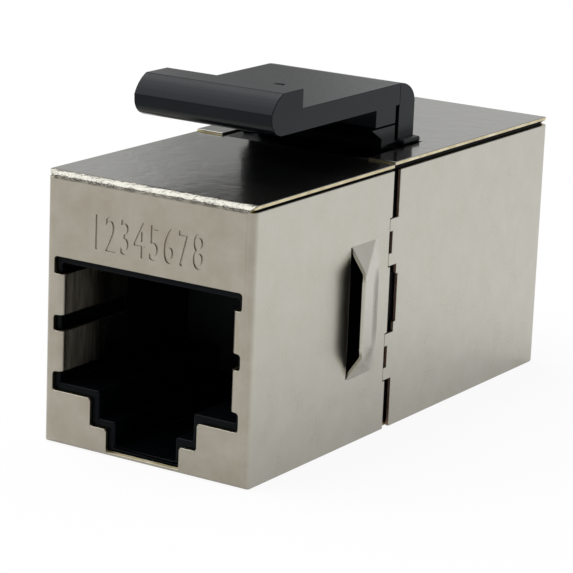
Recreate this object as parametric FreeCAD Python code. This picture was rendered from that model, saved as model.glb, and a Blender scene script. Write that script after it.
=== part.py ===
import FreeCAD, Part
import math
import os

# Shielded RJ45 inline coupler with a keystone latch. Lengths are in millimetres.
# The origin is the centre of the bottom face: the front port looks towards -Y,
# the rear port towards +Y, and the latch is on top (+Z).
# A port and what belongs to it is drawn once, in the port's own frame: its face lies
# at y = 0 and depth runs along +y. turned_front and turned_rear put it in place.

# ---- Body and sheet metal -------------------------------------------------------
BODY_WIDTH = 14.5
BODY_HEIGHT = 16.6
BODY_LENGTH = 35.0
SHEET = 0.25              # thickness of the nickel-plated brass sheet
FOLD_RADIUS = 0.5         # outside radius of the folds round each port face
CORNER_GAP = 0.15         # open seam between the top wall and a side wall
SEAT_GAP = 0.05           # clearance of a piece that is fitted in another
REAR_TOP_RISE = 0.15      # the rear shell's top wall stands this much higher

# ---- Seam between the two shells --------------------------------------------------
SEAM_FROM_MIDDLE = 2.3    # from the front shell's end to the middle of the body
SEAM_WIDTH = 0.75
TONGUE_HEIGHT = 2.95      # two tongues of the rear shell close the seam on each side
TONGUE_PITCH = 7.2
TONGUE_LOW_Z = 4.6        # middle of the lower tongue
TONGUE_SOCKET = 0.25      # depth of the notch that takes the tongue's end
RELIEF_HEIGHT = 1.35      # notch in the end of each tongue
RELIEF_DEPTH = 0.35
EDGE_RELIEF_HEIGHT = 3.0  # shallow recess in the rear shell's edge, between the tongues
EDGE_RELIEF_DEPTH = 0.22

# ---- Port opening in the sheet ------------------------------------------------------
PORT_CLEAR_WIDTH = 11.9
PORT_FLOOR_Z = 3.35
PORT_HEIGHT = 8.15
NOTCH_REACH = 0.65        # the six side notches go this far past the clear width
STRIP_HEIGHT = 2.5        # ground strips, folded in between the notches
STRIP_PITCH = 3.45
STRIP_LOW_Z = 4.5         # lower edge of the lower strip
STRIP_BEND = 0.4
STRIP_LENGTH = 6.5
STEP_HALF = 3.8           # steps for the plug's own latch
STEP_FLOOR_Z = 1.68
TAIL_HALF = 2.6
PORT_CORNER = 0.2

# ---- Louvres on the front shell's side walls -----------------------------------------
LOUVRE_TO_SEAM = 4.55     # from the louvre's mouth to the front shell's end
LOUVRE_HEIGHT = 8.1
LOUVRE_MID_Z = 8.25
LOUVRE_REACH = 1.05       # how far the louvre stands out of the wall
LOUVRE_FLANK = 1.5        # height of its slanting top and bottom
LOUVRE_LENGTH = 3.35
LOUVRE_SHOULDER = 0.8     # its corners end this much before its middle

# ---- Housings -----------------------------------------------------------------------------
RIM = 0.45                # the moulded mouth stands this far inside the sheet's edge
MIDDLE_ROOM = 9.2         # carriers and circuit board, between the two ports' end walls
TAIL_SKIN = 0.35          # plastic left under the plug latch's groove
HOUSING_SHOWS = 0.25      # a housing's edge shows this far past its shell in the seam
HOUSING_ROOF = 1.05
HOUSING_SIDE = 1.0
HOUSING_BASE = 1.85

# ---- Contacts and their carriers --------------------------------------------------------------
PIN_COUNT = 8
PIN_PITCH = 1.02
WIRE = 0.36               # thickness of the contact wire, which is square
WIRE_BEND = 0.85
WIRE_COVER = 1.75         # from the carrier pocket's roof to the wires' straight run
WIRE_NOSE = 4.2           # depth of the contact's foremost point
WIRE_SLOPE_DEG = 20.0
RISER_SETBACK = 1.1       # from the port's end wall back to the wires' risers
TIP_REACH = 0.2           # from the end wall to the wires' tips, in their grooves
COMB_START = 1.2          # from the contacts' foremost point back to the comb
TAIL_DROP = 1.7           # from the straight run down to the rear port's even tails
TAIL_STAGGER = 2.0        # the odd pins' tails are this much lower
TAIL_GROUP = 4.6          # the front port's tails are this much below the rear port's

# ---- Circuit board --------------------------------------------------------------------------
BOARD_THICKNESS = 1.2
BOARD_SETBACK = 0.1       # from the rear housing's edge to the board
BOARD_EDGE = 0.9          # from the housing's outside to the board's edge
BOARD_BASE_Z = 1.3
HOLE_DIAMETER = 0.62

# ---- Keystone latch -----------------------------------------------------------------------------
LATCH_WIDTH = 9.7
LATCH_PLATE = 1.36
LATCH_RISE = 4.05         # plate's top above the front shell's top
PANEL_ROOM = 2.25         # from the catch step to the louvres' mouths: a 2 mm panel
NOSE_RISE = 1.15          # height of the catch step behind the nose
NOSE_LENGTH = 3.1
NOSE_SLANT = 0.95         # the nose's top starts this far behind its front
NOSE_FACE = 0.65          # upright middle of the nose's front, down from the plate's top
NOSE_CHIN = 0.45          # bevel under it
NOSE_ROUND = 0.9          # radius that blends the slant, the upright middle and the bevel
CHIN_LENGTH = 1.55        # the nose's underside meets the plate's this far behind its front
CATCH_TO_BACK = 12.95     # from the catch step to the column's rear
COLUMN_THICKNESS = 1.9
COLUMN_ROUND = 2.0
LATCH_SLOT = 0.36         # slot between the column and the stop blocks
STOP_LENGTH = 2.35
STOP_HEIGHT = 1.08
STOP_GAP = 0.08
REST_LIP = 0.45           # the lower stop block reaches this much further forward
REST_FLANK = 0.7
REST_ROUND = 0.35         # hollow under the lip
REST_LENGTH = 1.6
FOOT_WIDTH = 10.4         # over the rounded bars beside the column
FOOT_THICKNESS = 0.36
FOOT_ROUND = 0.12
BAR_SETBACK = 0.15        # from the column's front to the bars' front ends
FOOT_HEEL = 0.35          # the foot reaches this far behind the column
NOTCH_CLEARANCE = 0.1     # between the foot and the notch in the rear shell
BEAD_RADIUS = 0.8         # round root of the foot, seated in the rear housing
BEAD_GAP = 0.08
BEAD_WING = 0.75          # its ends reach this far under the sheet on each side
BEAD_SETBACK = 2.05       # from the column's rear to the bead's middle

# ---- Places worked out from the sizes -----------------------------------------------------------
HALF_WIDTH = BODY_WIDTH / 2
HALF_LENGTH = BODY_LENGTH / 2
HOUSING_HALF = HALF_WIDTH - SHEET - SEAT_GAP
HOUSING_BOTTOM = SHEET + SEAT_GAP
HOUSING_TOP = BODY_HEIGHT - SHEET - SEAT_GAP
HOUSING_FACE = SHEET + SEAT_GAP
CLEAR_HALF = PORT_CLEAR_WIDTH / 2
PORT_TOP_Z = PORT_FLOOR_Z + PORT_HEIGHT
CEILING_Z = PORT_TOP_Z - RIM
PORT_DEPTH = HALF_LENGTH - MIDDLE_ROOM / 2
SEAM_START = HALF_LENGTH - SEAM_FROM_MIDDLE
SEAM_END = SEAM_START + SEAM_WIDTH
LOUVRE_MOUTH = SEAM_START - LOUVRE_TO_SEAM
FRONT_HOUSING_END = SEAM_START + HOUSING_SHOWS
REAR_HOUSING_START = SEAM_END - HOUSING_SHOWS
POCKET_HALF = HOUSING_HALF - HOUSING_SIDE
POCKET_BOTTOM = HOUSING_BOTTOM + HOUSING_BASE
POCKET_TOP = HOUSING_TOP - HOUSING_ROOF
RUN_Z = POCKET_TOP - WIRE_COVER
WIRE_RISER = PORT_DEPTH + RISER_SETBACK
WIRE_TIP = PORT_DEPTH + TIP_REACH
BOARD_FROM_FACE = REAR_HOUSING_START + BOARD_SETBACK
BOARD_END = BOARD_FROM_FACE + BOARD_THICKNESS
BOARD_HALF = HOUSING_HALF - BOARD_EDGE
BOARD_TOP_Z = HOUSING_TOP - BOARD_EDGE
REAR_TOP_Z = BODY_HEIGHT + REAR_TOP_RISE
NOSE_BACK = LOUVRE_MOUTH - PANEL_ROOM
NOSE_FRONT = NOSE_BACK - NOSE_LENGTH
NOSE_TOP_FRONT = NOSE_FRONT + NOSE_SLANT
COLUMN_BACK = NOSE_BACK + CATCH_TO_BACK
FOOT_BACK = COLUMN_BACK + FOOT_HEEL
HINGE_DEPTH = COLUMN_BACK - BEAD_SETBACK
PLATE_TOP = BODY_HEIGHT + LATCH_RISE
PLATE_UNDER = PLATE_TOP - LATCH_PLATE
HINGE_Z = BODY_HEIGHT


def box(x0, x1, y0, y1, z0, z1):
    return Part.makeBox(x1 - x0, y1 - y0, z1 - z0, FreeCAD.Vector(x0, y0, z0))


def rounded_wire(corners, place):
    """Closed outline through (u, v, radius) corners; place turns (u, v) into a vector."""
    starts, mids, ends = [], [], []
    count = len(corners)
    for index, (u, v, radius) in enumerate(corners):
        before = corners[index - 1]
        after = corners[(index + 1) % count]
        back = (before[0] - u, before[1] - v)
        ahead = (after[0] - u, after[1] - v)
        back_length = math.hypot(*back)
        ahead_length = math.hypot(*ahead)
        back = (back[0] / back_length, back[1] / back_length)
        ahead = (ahead[0] / ahead_length, ahead[1] / ahead_length)
        if radius <= 0:
            starts.append((u, v))
            mids.append(None)
            ends.append((u, v))
            continue
        half = math.acos(max(-1.0, min(1.0, back[0] * ahead[0] + back[1] * ahead[1]))) / 2
        reach = min(radius / math.tan(half), 0.49 * back_length, 0.49 * ahead_length)
        true_radius = reach * math.tan(half)
        middle = (back[0] + ahead[0], back[1] + ahead[1])
        middle_length = math.hypot(*middle)
        to_arc = true_radius / math.sin(half) - true_radius
        starts.append((u + back[0] * reach, v + back[1] * reach))
        mids.append((u + middle[0] / middle_length * to_arc, v + middle[1] / middle_length * to_arc))
        ends.append((u + ahead[0] * reach, v + ahead[1] * reach))
    edges = []
    for index in range(count):
        if mids[index]:
            arc = Part.Arc(place(*starts[index]), place(*mids[index]), place(*ends[index]))
            edges.append(arc.toShape())
        here = place(*ends[index])
        following = place(*starts[(index + 1) % count])
        if here.distanceToPoint(following) > 1e-6:
            edges.append(Part.LineSegment(here, following).toShape())
    return Part.Wire(edges)


def plate_xz(corners, y0, y1):
    """Outline of (x, z, radius) corners, extruded along depth."""
    wire = rounded_wire(corners, lambda x, z: FreeCAD.Vector(x, y0, z))
    return Part.Face(wire).extrude(FreeCAD.Vector(0, y1 - y0, 0))


def plate_yz(corners, x0, x1):
    """Outline of (y, z, radius) corners, extruded across the width."""
    wire = rounded_wire(corners, lambda y, z: FreeCAD.Vector(x0, y, z))
    return Part.Face(wire).extrude(FreeCAD.Vector(x1 - x0, 0, 0))


def plate_xy(corners, z0, z1):
    """Outline of (x, y, radius) corners, extruded upwards."""
    wire = rounded_wire(corners, lambda x, y: FreeCAD.Vector(x, y, z0))
    return Part.Face(wire).extrude(FreeCAD.Vector(0, 0, z1 - z0))


def both_sides(corners):
    """Outline that is the same on both sides of x = 0, from its right half, bottom to top."""
    left = [(-x, z, radius) for x, z, radius in reversed(corners)]
    return list(corners) + left


def mirrored_x(shape):
    return shape.mirror(FreeCAD.Vector(0, 0, 0), FreeCAD.Vector(1, 0, 0))


def turned_front(shape):
    placed = shape.copy()
    placed.translate(FreeCAD.Vector(0, -HALF_LENGTH, 0))
    return placed


def turned_rear(shape):
    placed = turned_front(shape)
    placed.rotate(FreeCAD.Vector(0, 0, 0), FreeCAD.Vector(0, 0, 1), 180)
    return placed


def one_solid(shape, name):
    clean = shape.removeSplitter()
    solids = clean.Solids
    if len(solids) != 1 or not solids[0].isValid():
        raise RuntimeError("%s has %d solids" % (name, len(solids)))
    return solids[0]


# ---- Shells ---------------------------------------------------------------------------------

def folded_box(length, top_z):
    """A face with four walls folded back from it, closed at y = 0 and open at the other end."""
    outer = box(-HALF_WIDTH, HALF_WIDTH, 0, length, 0, top_z)
    inner = box(-HALF_WIDTH + SHEET, HALF_WIDTH - SHEET, SHEET, length + 1, SHEET, top_z - SHEET)
    outer = outer.makeFillet(FOLD_RADIUS, face_edges(outer, 0))
    inner = inner.makeFillet(FOLD_RADIUS - SHEET, face_edges(inner, SHEET))
    return outer.cut(inner)


def face_edges(solid, y):
    edges = []
    for edge in solid.Edges:
        if all(abs(vertex.Y - y) < 1e-6 for vertex in edge.Vertexes):
            edges.append(edge)
    return edges


def open_corners(shell, length, top_z):
    """Cut the seams along the four long edges, right through the folds at the face."""
    side_top = BODY_HEIGHT - SHEET - CORNER_GAP
    corner = HALF_WIDTH - FOLD_RADIUS
    for side in (-1, 1):
        outside = side * (HALF_WIDTH + 1)
        inside = side * corner
        low, high = sorted((inside, outside))
        shell = shell.cut(box(low, high, -1, length + 1, side_top, top_z - SHEET))
        low, high = sorted((side * (HALF_WIDTH - SHEET - SEAT_GAP), side * (HALF_WIDTH - SHEET)))
        shell = shell.cut(box(low, high, -1, length + 1, -1, FOLD_RADIUS))
    return shell


def port_cutout():
    """Opening in the face: stepped at the bottom, with three notches on each side."""
    bend = CLEAR_HALF + STRIP_BEND
    notch = CLEAR_HALF + NOTCH_REACH
    corners = [
        (TAIL_HALF, SHEET, 0),
        (TAIL_HALF, STEP_FLOOR_Z, PORT_CORNER),
        (STEP_HALF, STEP_FLOOR_Z, PORT_CORNER),
        (STEP_HALF, PORT_FLOOR_Z, PORT_CORNER),
        (notch, PORT_FLOOR_Z, 0),
    ]
    for index in range(2):
        strip_bottom = STRIP_LOW_Z + index * STRIP_PITCH
        corners.append((notch, strip_bottom, 0))
        corners.append((bend, strip_bottom, 0))
        corners.append((bend, strip_bottom + STRIP_HEIGHT, 0))
        corners.append((notch, strip_bottom + STRIP_HEIGHT, 0))
    corners.append((notch, PORT_TOP_Z, PORT_CORNER))
    return plate_xz(both_sides(corners), -1, FOLD_RADIUS)


def ground_strip(bottom_z):
    """Strip folded in from the port's right edge, bent round STRIP_BEND."""
    inner = CLEAR_HALF
    outer = CLEAR_HALF + SHEET
    root = CLEAR_HALF + STRIP_BEND + SHEET
    corners = [
        (root, 0, 0),
        (inner, 0, STRIP_BEND),
        (inner, STRIP_LENGTH, 0),
        (outer, STRIP_LENGTH, 0),
        (outer, SHEET, STRIP_BEND - SHEET),
        (root, SHEET, 0),
    ]
    return plate_xy(corners, bottom_z, bottom_z + STRIP_HEIGHT)


def add_port(shell):
    shell = shell.cut(port_cutout())
    for index in range(2):
        strip = ground_strip(STRIP_LOW_Z + index * STRIP_PITCH)
        shell = shell.fuse(strip).fuse(mirrored_x(strip))
    return shell


def louvre_body(inset):
    """Louvre on the right wall, as a solid; inset makes the smaller body that hollows it."""
    crest = HALF_WIDTH + LOUVRE_REACH - inset
    front = LOUVRE_MOUTH
    back = front + LOUVRE_LENGTH - inset * 2
    half = LOUVRE_HEIGHT / 2 - inset * 0.6
    flat = LOUVRE_HEIGHT / 2 - LOUVRE_FLANK - inset * 0.4
    wall = HALF_WIDTH - inset
    mouth = [(wall, half), (crest, flat), (crest, -flat), (wall, -half)]
    points = [FreeCAD.Vector(x, front, LOUVRE_MID_Z + z) for x, z in mouth]
    shoulder = back - LOUVRE_SHOULDER
    heel = [(shoulder, half), (back, flat), (back, -flat), (shoulder, -half)]
    points += [FreeCAD.Vector(wall, y, LOUVRE_MID_Z + z) for y, z in heel]
    facets = [(0, 1, 2, 3), (1, 5, 6, 2), (0, 4, 1), (1, 4, 5), (2, 6, 7), (2, 7, 3), (0, 3, 7, 6, 5, 4)]
    faces = []
    for facet in facets:
        ring = [points[index] for index in facet]
        faces.append(Part.Face(Part.makePolygon(ring + ring[:1])))
    body = Part.Solid(Part.Shell(faces))
    if body.Volume < 0:
        body.reverse()
    footprint = [(y, LOUVRE_MID_Z + z, 0) for y, z in [(front, half)] + heel + [(front, -half)]]
    root = HALF_WIDTH - SHEET - inset / 2
    return body.fuse(plate_yz(footprint, root, wall))


def add_louvre(shell, flip):
    """Form a louvre in one side wall: its mouth looks at the port, its back runs into the wall."""
    skin = louvre_body(0)
    hollow = louvre_body(SHEET)
    slit = hollow.copy()
    slit.translate(FreeCAD.Vector(0, -SEAT_GAP, 0))
    hollow = hollow.fuse(slit)
    if flip:
        skin = mirrored_x(skin)
        hollow = mirrored_x(hollow)
    return shell.fuse(skin).cut(hollow)


def tongue_heights():
    return [TONGUE_LOW_Z, TONGUE_LOW_Z + TONGUE_PITCH]


def front_shell():
    shell = folded_box(SEAM_START, BODY_HEIGHT)
    shell = open_corners(shell, SEAM_START, BODY_HEIGHT)
    shell = add_port(shell)
    for middle in tongue_heights():
        half = TONGUE_HEIGHT / 2 + SEAT_GAP
        for side in (-1, 1):
            low, high = sorted((side * (HALF_WIDTH - 2 * SHEET), side * (HALF_WIDTH + 1)))
            socket = box(low, high, SEAM_START - TONGUE_SOCKET, SEAM_END, middle - half, middle + half)
            shell = shell.cut(socket)
    shell = add_louvre(shell, False)
    shell = add_louvre(shell, True)
    return turned_front(one_solid(shell, "front_shell"))


def side_tongue(middle):
    """Right-hand tongue of the rear shell, drawn in the front port's frame."""
    tip = SEAM_START - TONGUE_SOCKET + SEAT_GAP
    half = TONGUE_HEIGHT / 2
    relief = RELIEF_HEIGHT / 2
    corners = [
        (SEAM_END + SHEET, middle - half, 0),
        (tip, middle - half, PORT_CORNER),
        (tip, middle - relief, 0),
        (tip + RELIEF_DEPTH, middle - relief, RELIEF_DEPTH / 2),
        (tip + RELIEF_DEPTH, middle + relief, RELIEF_DEPTH / 2),
        (tip, middle + relief, 0),
        (tip, middle + half, PORT_CORNER),
        (SEAM_END + SHEET, middle + half, 0),
    ]
    return plate_yz(corners, HALF_WIDTH - SHEET, HALF_WIDTH)


def rear_shell():
    length = BODY_LENGTH - SEAM_END
    shell = folded_box(length, REAR_TOP_Z)
    shell = open_corners(shell, length, REAR_TOP_Z)
    shell = turned_rear(add_port(shell))
    middle = TONGUE_LOW_Z + TONGUE_PITCH / 2
    relief = EDGE_RELIEF_HEIGHT / 2
    for side in (-1, 1):
        low, high = sorted((side * (HALF_WIDTH - 2 * SHEET), side * (HALF_WIDTH + 1)))
        recess = box(low, high, SEAM_START, SEAM_END + EDGE_RELIEF_DEPTH, middle - relief, middle + relief)
        shell = shell.cut(turned_front(recess))
    for height in tongue_heights():
        tongue = side_tongue(height)
        shell = shell.fuse(turned_front(tongue)).fuse(turned_front(mirrored_x(tongue)))
    lead_start = SEAM_START + SEAT_GAP
    lead_end = SEAM_END + SHEET
    floor_half = HALF_WIDTH - SHEET - SEAT_GAP
    top_lead = box(-HALF_WIDTH, HALF_WIDTH, lead_start, lead_end, REAR_TOP_Z - SHEET, REAR_TOP_Z)
    floor_lead = box(-floor_half, floor_half, lead_start, lead_end, 0, SHEET)
    shell = shell.fuse(turned_front(top_lead)).fuse(turned_front(floor_lead))
    notch_half = FOOT_WIDTH / 2 + NOTCH_CLEARANCE
    notch = box(-notch_half, notch_half, SEAM_START - 1, FOOT_BACK + NOTCH_CLEARANCE,
                REAR_TOP_Z - 2 * SHEET, REAR_TOP_Z + 1)
    return one_solid(shell.cut(turned_front(notch)), "rear_shell")


# ---- Housings -------------------------------------------------------------------------------------

def port_cavity(depth):
    """The plug's cavity in the housing, with its latch groove and a recess behind the ground strips."""
    floor = PORT_FLOOR_Z + RIM
    step = STEP_FLOOR_Z + RIM
    corners = [
        (TAIL_HALF - RIM, HOUSING_BOTTOM + TAIL_SKIN, 0),
        (TAIL_HALF - RIM, step, 0),
        (STEP_HALF - RIM, step, 0),
        (STEP_HALF - RIM, floor, 0),
        (CLEAR_HALF, floor, 0),
        (CLEAR_HALF, CEILING_Z, 0),
    ]
    cavity = plate_xz(both_sides(corners), 0, depth)
    reach = CLEAR_HALF + SHEET + SEAT_GAP
    cavity = cavity.fuse(box(-reach, reach, 0, STRIP_LENGTH + SEAT_GAP, floor, CEILING_Z))
    bend = reach + STRIP_BEND
    for index in range(2):
        bottom = STRIP_LOW_Z + index * STRIP_PITCH - SEAT_GAP
        top = bottom + STRIP_HEIGHT + 2 * SEAT_GAP
        cavity = cavity.fuse(box(-bend, bend, 0, HOUSING_FACE + SEAT_GAP, bottom, top))
    return cavity


def carrier_pocket(depth):
    """Room behind and above the cavity for the contact carrier, its comb and the wires."""
    comb_half = comb_half_width() + SEAT_GAP
    back = box(-POCKET_HALF, POCKET_HALF, PORT_DEPTH, depth, POCKET_BOTTOM, POCKET_TOP)
    front = WIRE_NOSE - WIRE
    comb = box(-comb_half, comb_half, front, PORT_DEPTH + 1, CEILING_Z - 1, POCKET_TOP)
    return back.fuse(comb)


def housing_block(length):
    block = box(-HOUSING_HALF, HOUSING_HALF, HOUSING_FACE, length, HOUSING_BOTTOM, HOUSING_TOP)
    corner = FOLD_RADIUS - SHEET
    return block.makeFillet(corner, face_edges(block, HOUSING_FACE))


def front_housing():
    block = housing_block(FRONT_HOUSING_END)
    block = block.cut(port_cavity(PORT_DEPTH)).cut(carrier_pocket(FRONT_HOUSING_END + 1))
    return turned_front(one_solid(block, "front_housing"))


def rear_housing():
    end = BODY_LENGTH - REAR_HOUSING_START
    board_face = BODY_LENGTH - BOARD_END
    block = housing_block(end)
    block = block.cut(port_cavity(PORT_DEPTH)).cut(carrier_pocket(board_face + 1))
    recess = box(-BOARD_HALF - SEAT_GAP, BOARD_HALF + SEAT_GAP, board_face, end + 1,
                 BOARD_BASE_Z - SEAT_GAP, BOARD_TOP_Z + SEAT_GAP)
    block = turned_rear(block.cut(recess))
    trough_half = FOOT_WIDTH / 2 + BEAD_WING + BEAD_GAP
    trough = bead_cylinder(trough_half, BEAD_RADIUS + BEAD_GAP)
    return one_solid(block.cut(trough), "rear_housing")


# ---- Contacts, carriers and board ------------------------------------------------------------------

def pin_x(index):
    return (index - (PIN_COUNT - 1) / 2) * PIN_PITCH


def comb_half_width():
    return PIN_COUNT * PIN_PITCH / 2 + PIN_PITCH / 4


def tail_z(index, rear):
    """Height of a solder tail: pin 1 and the other odd pins have an even index."""
    stagger = 0 if index % 2 else TAIL_STAGGER
    return RUN_Z - TAIL_DROP - stagger - (0 if rear else TAIL_GROUP)


def wire_outline(path, thickness):
    """Closed outline of a wire of this thickness along (u, v, bend radius) points."""
    left, right = [], []
    for index, (u, v, radius) in enumerate(path):
        steps = []
        if index > 0:
            steps.append((u - path[index - 1][0], v - path[index - 1][1]))
        if index < len(path) - 1:
            steps.append((path[index + 1][0] - u, path[index + 1][1] - v))
        units = [(du / math.hypot(du, dv), dv / math.hypot(du, dv)) for du, dv in steps]
        normals = [(-dv, du) for du, dv in units]
        mean = (sum(n[0] for n in normals), sum(n[1] for n in normals))
        length = math.hypot(*mean)
        mean = (mean[0] / length, mean[1] / length)
        reach = thickness / 2 / (mean[0] * normals[0][0] + mean[1] * normals[0][1])
        turn = 0
        if len(units) == 2:
            turn = units[0][0] * units[1][1] - units[0][1] * units[1][0]
        side = thickness / 2 if turn > 0 else -thickness / 2
        inner = radius - side if radius else 0
        outer = radius + side if radius else 0
        left.append((u + mean[0] * reach, v + mean[1] * reach, inner))
        right.append((u - mean[0] * reach, v - mean[1] * reach, outer))
    return left + right[::-1]


def contact_path(tail_depth, tail_height):
    """From the solder tail up the riser, along the run, round the nose and down the slope."""
    slope = math.radians(WIRE_SLOPE_DEG)
    lower_nose = RUN_Z - 2 * WIRE_BEND
    tip_z = lower_nose - (WIRE_TIP - WIRE_NOSE) * math.tan(slope)
    return [
        (tail_depth, tail_height, 0),
        (WIRE_RISER, tail_height, WIRE_BEND / 2),
        (WIRE_RISER, RUN_Z, WIRE_BEND / 2),
        (WIRE_NOSE, RUN_Z, WIRE_BEND),
        (WIRE_NOSE, lower_nose, WIRE_BEND / 2),
        (WIRE_TIP, tip_z, 0),
    ]


def contact(index, rear):
    tail_depth = BOARD_END - SEAT_GAP
    if rear:
        tail_depth = BODY_LENGTH - BOARD_FROM_FACE - SEAT_GAP
    path = contact_path(tail_depth, tail_z(index, rear))
    middle = pin_x(index)
    wire = plate_yz(wire_outline(path, WIRE), middle - WIRE / 2, middle + WIRE / 2)
    place = turned_rear if rear else turned_front
    return place(one_solid(wire, "contact"))


def carrier(rear):
    """Block behind the port with a comb over it; each wire lies in a slot of its own."""
    back = BODY_LENGTH - BOARD_END if rear else BOARD_FROM_FACE
    half = POCKET_HALF - SEAT_GAP
    top = POCKET_TOP - SEAT_GAP
    block = box(-half, half, PORT_DEPTH, back, POCKET_BOTTOM + SEAT_GAP, top)
    comb_half = comb_half_width()
    comb = box(-comb_half, comb_half, WIRE_NOSE + COMB_START, PORT_DEPTH, CEILING_Z + RIM / 2, top)
    block = block.fuse(comb)
    room = WIRE / 2 + SEAT_GAP
    slope = math.radians(WIRE_SLOPE_DEG)
    tip_z = RUN_Z - 2 * WIRE_BEND - (WIRE_TIP - WIRE_NOSE) * math.tan(slope)
    for index in range(PIN_COUNT):
        left = pin_x(index) - room
        right = pin_x(index) + room
        run = box(left, right, WIRE_NOSE, WIRE_RISER + room, CEILING_Z - RIM, RUN_Z + room)
        riser = box(left, right, WIRE_RISER - room, back + 1, tail_z(index, rear) - room, RUN_Z + room)
        tip = box(left, right, PORT_DEPTH - 1, WIRE_TIP + 2 * room, tip_z - 2 * WIRE, CEILING_Z)
        block = block.cut(run).cut(riser).cut(tip)
    place = turned_rear if rear else turned_front
    name = "rear_contact_carrier" if rear else "front_contact_carrier"
    return place(one_solid(block, name))


def circuit_board():
    """Board across the coupler; every contact's tail ends in a hole of its own."""
    board = box(-BOARD_HALF, BOARD_HALF, BOARD_FROM_FACE, BOARD_END, BOARD_BASE_Z, BOARD_TOP_Z)
    for rear in (False, True):
        for index in range(PIN_COUNT):
            x = -pin_x(index) if rear else pin_x(index)
            start = FreeCAD.Vector(x, BOARD_FROM_FACE - 1, tail_z(index, rear))
            hole = Part.makeCylinder(HOLE_DIAMETER / 2, BOARD_THICKNESS + 2, start, FreeCAD.Vector(0, 1, 0))
            board = board.cut(hole)
    return turned_front(one_solid(board, "circuit_board"))


# ---- Keystone latch ---------------------------------------------------------------------------------

def bead_cylinder(half_length, radius):
    """Cylinder across the body on the latch's hinge line, in the part's frame."""
    start = FreeCAD.Vector(-half_length, HINGE_DEPTH - HALF_LENGTH, HINGE_Z)
    return Part.makeCylinder(radius, 2 * half_length, start, FreeCAD.Vector(1, 0, 0))


def latch_arm():
    """Nose, plate and rear column in one outline, with the stop block under the plate."""
    nose_top = PLATE_TOP + NOSE_RISE
    column_front = COLUMN_BACK - COLUMN_THICKNESS
    stop_back = column_front - LATCH_SLOT
    stop_front = stop_back - STOP_LENGTH
    foot_top = REAR_TOP_Z + FOOT_THICKNESS
    corners = [
        (NOSE_TOP_FRONT, nose_top, 0.2),
        (NOSE_FRONT, PLATE_TOP, NOSE_ROUND),
        (NOSE_FRONT, PLATE_TOP - NOSE_FACE, NOSE_ROUND),
        (NOSE_FRONT + NOSE_CHIN, PLATE_TOP - NOSE_FACE - NOSE_CHIN, NOSE_ROUND),
        (NOSE_FRONT + CHIN_LENGTH, PLATE_UNDER, 0.5),
        (stop_front, PLATE_UNDER, 0),
        (stop_front, PLATE_UNDER - STOP_HEIGHT, 0),
        (stop_back, PLATE_UNDER - STOP_HEIGHT, 0),
        (stop_back, PLATE_UNDER, 0),
        (column_front, PLATE_UNDER, 0),
        (column_front, foot_top - SHEET, 0),
        (COLUMN_BACK, foot_top - SHEET, 0),
        (COLUMN_BACK, PLATE_TOP, COLUMN_ROUND),
        (NOSE_BACK, PLATE_TOP, 0.08),
        (NOSE_BACK, nose_top, 0.12),
    ]
    return plate_yz(corners, -LATCH_WIDTH / 2, LATCH_WIDTH / 2)


def latch_foot():
    """Foot under the column, with the lower stop block standing on it and a bar on each side."""
    rest_back = COLUMN_BACK - COLUMN_THICKNESS - LATCH_SLOT
    rest_front = rest_back - STOP_LENGTH - REST_LIP
    rest_top = PLATE_UNDER - STOP_HEIGHT - STOP_GAP
    post_front = rest_back - REST_LENGTH
    foot_top = REAR_TOP_Z + FOOT_THICKNESS
    foot = plate_yz([
        (rest_front, rest_top, 0),
        (post_front, rest_top - REST_FLANK, REST_ROUND),
        (post_front, REAR_TOP_Z, 0),
        (FOOT_BACK, REAR_TOP_Z, FOOT_ROUND),
        (FOOT_BACK, foot_top, FOOT_ROUND),
        (rest_back, foot_top, 0),
        (rest_back, rest_top, 0),
    ], -LATCH_WIDTH / 2, LATCH_WIDTH / 2)
    bar_front = COLUMN_BACK - COLUMN_THICKNESS + BAR_SETBACK
    section = both_sides([
        (FOOT_WIDTH / 2, REAR_TOP_Z, FOOT_ROUND),
        (FOOT_WIDTH / 2, foot_top, FOOT_ROUND),
    ])
    return foot.fuse(plate_xz(section, bar_front, FOOT_BACK))


def latch_root():
    """Round bead under the foot; its ends lie under the sheet on both sides of the notch."""
    half = LATCH_WIDTH / 2
    wing = FOOT_WIDTH / 2 + BEAD_WING
    bead = bead_cylinder(wing, BEAD_RADIUS)
    middle = HINGE_DEPTH - HALF_LENGTH
    reach = BEAD_RADIUS + 1
    under_sheet = REAR_TOP_Z - SHEET - 2 * SEAT_GAP
    keep = box(-half, half, middle - reach, middle + reach, 0, REAR_TOP_Z + FOOT_THICKNESS / 2)
    keep = keep.fuse(box(-wing, wing, middle - reach, middle + reach, 0, under_sheet))
    return bead.common(keep)


def keystone_latch():
    moulding = turned_front(latch_arm().fuse(latch_foot())).fuse(latch_root())
    return one_solid(moulding, "keystone_latch")


def main():
    parts = {
        "front_shell": front_shell(),
        "rear_shell": rear_shell(),
        "front_housing": front_housing(),
        "rear_housing": rear_housing(),
        "front_contact_carrier": carrier(False),
        "rear_contact_carrier": carrier(True),
        "circuit_board": circuit_board(),
        "keystone_latch": keystone_latch(),
    }
    for index in range(PIN_COUNT):
        parts["front_contact_%d" % (index + 1)] = contact(index, False)
        parts["rear_contact_%d" % (index + 1)] = contact(index, True)
    os.makedirs("parts", exist_ok=True)
    for name, shape in parts.items():
        shape.exportStep("parts/%s.step" % name)
        bounds = shape.BoundBox
        print("%-22s %8.2f mm3  x %.2f..%.2f  y %.2f..%.2f  z %.2f..%.2f" % (
            name, shape.Volume, bounds.XMin, bounds.XMax, bounds.YMin, bounds.YMax,
            bounds.ZMin, bounds.ZMax))


main()
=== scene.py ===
import math

import bmesh
import bpy
from mathutils import Matrix, Vector


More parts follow.
